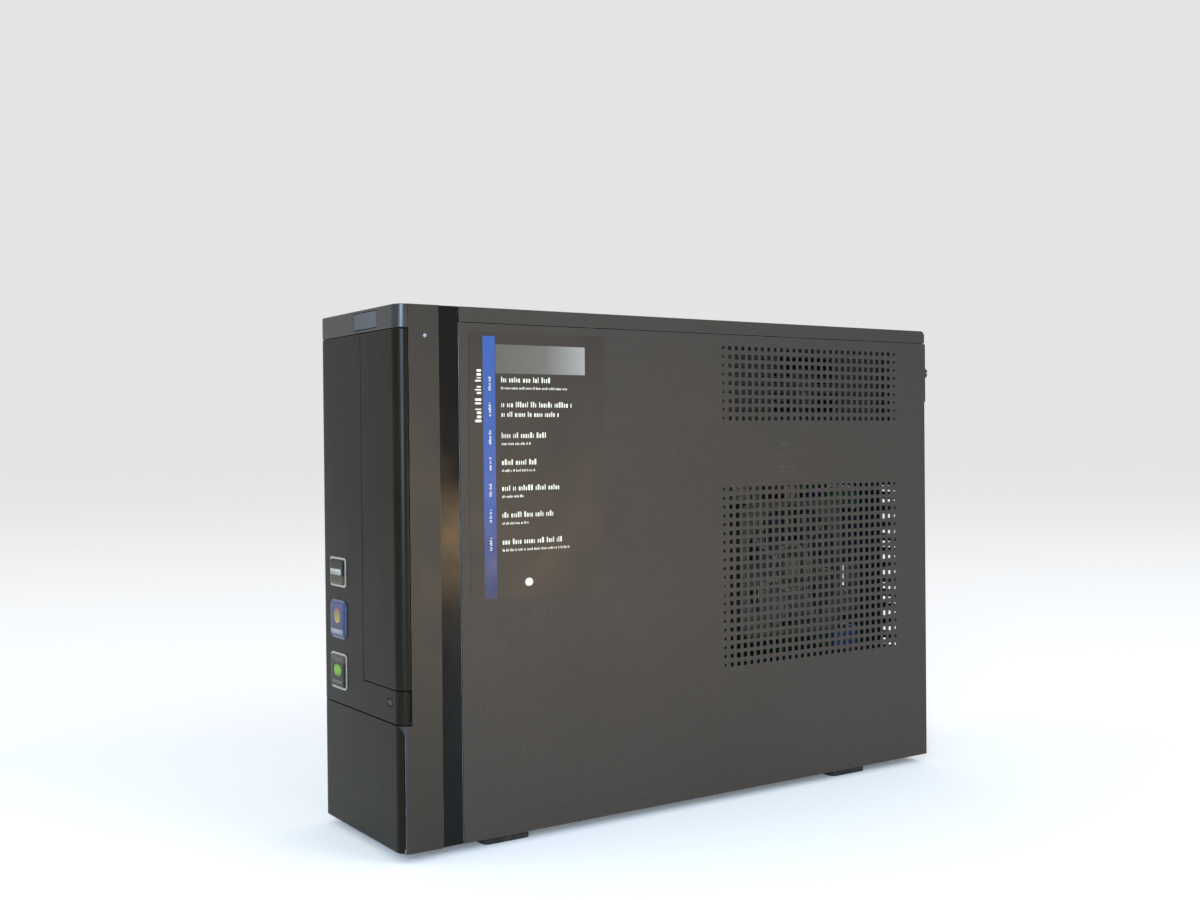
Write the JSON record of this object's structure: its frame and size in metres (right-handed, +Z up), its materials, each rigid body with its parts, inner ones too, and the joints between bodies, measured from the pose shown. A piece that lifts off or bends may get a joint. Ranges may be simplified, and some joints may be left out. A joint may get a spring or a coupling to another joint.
{
  "type": "desktop computer tower",
  "caption": "Slim upright desktop computer: glossy front with tray cover, port door and power button, vented side cover, rear connectors, full internals.",
  "frame": {"origin": "under the middle of the overall box, on the plane the rubber feet stand on", "axes": "+Z up, the glossy front faces -Y, the vented removable side cover is on +X, the connectors are on +Y"},
  "size_m": [0.095, 0.369, 0.27],
  "materials": {
    "case_steel": "fine-textured black powder coat",
    "plated_steel": "zinc-plated sheet",
    "gloss_front": "polished piano black",
    "bezel_plastic": "satin black",
    "button_plastic": "smoked gloss",
    "light_pipe": "frosted clear",
    "badge_film": "printed domed film",
    "label_film": "printed matt film",
    "rubber": "moulded rubber",
    "circuit_board": "solder-masked laminate",
    "black_plastic": "moulded black",
    "ivory_plastic": "moulded ivory",
    "blue_plastic": "moulded blue",
    "aluminium": "extruded and cast",
    "brass": "plated brass",
    "bright_steel": "nickel-plated",
    "lead_sleeve": "PVC and braided sleeve",
    "red_plastic": "moulded red"
  },
  "bodies": {
    "chassis": {"chassis_shell": "case_steel", "rear_panel": "case_steel", "front_frame": "plated_steel", "front_bezel": "bezel_plastic", "front_panel": "gloss_front", "bezel_top_cap": "gloss_front", "power_switch": "black_plastic", "power_led": "light_pipe", "door_hinge_pins": "bright_steel", "front_badges": "badge_film", "front_port_board": "circuit_board", "front_ports": "bright_steel", "card_reader": "black_plastic", "rubber_feet": "rubber", "drive_cage": "plated_steel", "optical_drive_housing": "plated_steel", "optical_deck": "black_plastic", "hard_drive": "aluminium", "motherboard": "circuit_board", "board_standoffs": "brass", "machine_screws": "bright_steel", "cpu_socket": "ivory_plastic", "cpu": "aluminium", "heatsink": "aluminium", "cooler_fan_frame": "black_plastic", "memory_slots": "black_plastic", "memory_modules": "circuit_board", "expansion_slots": "black_plastic", "chipset_heatsink": "aluminium", "board_capacitors": "aluminium", "coin_cell": "bright_steel", "board_sockets": "ivory_plastic", "keyboard_mouse_ports": "black_plastic", "video_port": "blue_plastic", "rear_usb_ports": "bright_steel", "lan_port": "bright_steel", "rear_audio_jacks": "black_plastic", "io_shield": "plated_steel", "slot_covers": "plated_steel", "psu_housing": "plated_steel", "psu_fan_frame": "black_plastic", "ac_inlet": "black_plastic", "main_power_harness": "lead_sleeve", "internal_leads": "lead_sleeve"},
    "side_cover": {"side_cover": "case_steel", "cover_rails": "case_steel", "cover_thumbscrew": "bright_steel", "service_label": "label_film"},
    "drive_tray": {"drive_tray": "black_plastic", "drive_cover": "gloss_front"},
    "port_door": {"port_door": "gloss_front"},
    "power_button": {"power_button": "button_plastic"},
    "eject_button": {"eject_button": "button_plastic"},
    "cooler_fan": {"cooler_fan_rotor": "black_plastic"},
    "psu_fan": {"psu_fan_rotor": "black_plastic"},
    "voltage_selector": {"voltage_selector": "red_plastic"},
    "latch_front_lower": {"memory_latch_front_lower": "ivory_plastic"},
    "latch_front_upper": {"memory_latch_front_upper": "ivory_plastic"},
    "latch_rear_lower": {"memory_latch_rear_lower": "ivory_plastic"},
    "latch_rear_upper": {"memory_latch_rear_upper": "ivory_plastic"}
  },
  "joints": [
    {"name": "side_cover_slide", "type": "slide", "parent": "chassis", "child": "side_cover", "axis": [0, 1, 0], "range_m": [0, 0.34]},
    {"name": "tray_slide", "type": "slide", "parent": "chassis", "child": "drive_tray", "axis": [0, -1, 0], "range_m": [0, 0.13]},
    {"name": "port_door_hinge", "type": "hinge", "parent": "chassis", "child": "port_door", "pos_m": [0, -0.1795, 0.0086], "axis": [1, 0, 0], "range_deg": [0, 90]},
    {"name": "power_button_press", "type": "slide", "parent": "chassis", "child": "power_button", "axis": [0, 1, 0], "range_m": [0, 0.002], "stiffness_N_per_m": 300},
    {"name": "eject_button_press", "type": "slide", "parent": "chassis", "child": "eject_button", "axis": [0, 1, 0], "range_m": [0, 0.0015], "stiffness_N_per_m": 200},
    {"name": "cooler_fan_spin", "type": "hinge", "parent": "chassis", "child": "cooler_fan", "pos_m": [0.0113, 0.095, 0.125], "axis": [1, 0, 0], "continuous": true},
    {"name": "psu_fan_spin", "type": "hinge", "parent": "chassis", "child": "psu_fan", "pos_m": [0.0325, 0.085, 0.23325], "axis": [1, 0, 0], "continuous": true},
    {"name": "voltage_selector_slide", "type": "slide", "parent": "chassis", "child": "voltage_selector", "axis": [1, 0, 0], "range_m": [0, 0.005]},
    {"name": "latch_front_lower_tilt", "type": "hinge", "parent": "chassis", "child": "latch_front_lower", "pos_m": [-0.035, -0.011, 0.0253], "axis": [0, 1, 0], "range_deg": [0, 35]},
    {"name": "latch_front_upper_tilt", "type": "hinge", "parent": "chassis", "child": "latch_front_upper", "pos_m": [-0.035, -0.011, 0.1707], "axis": [0, -1, 0], "range_deg": [0, 35]},
    {"name": "latch_rear_lower_tilt", "type": "hinge", "parent": "chassis", "child": "latch_rear_lower", "pos_m": [-0.035, -0.001, 0.0253], "axis": [0, 1, 0], "range_deg": [0, 35]},
    {"name": "latch_rear_upper_tilt", "type": "hinge", "parent": "chassis", "child": "latch_rear_upper", "pos_m": [-0.035, -0.001, 0.1707], "axis": [0, -1, 0], "range_deg": [0, 35]}
  ]
}
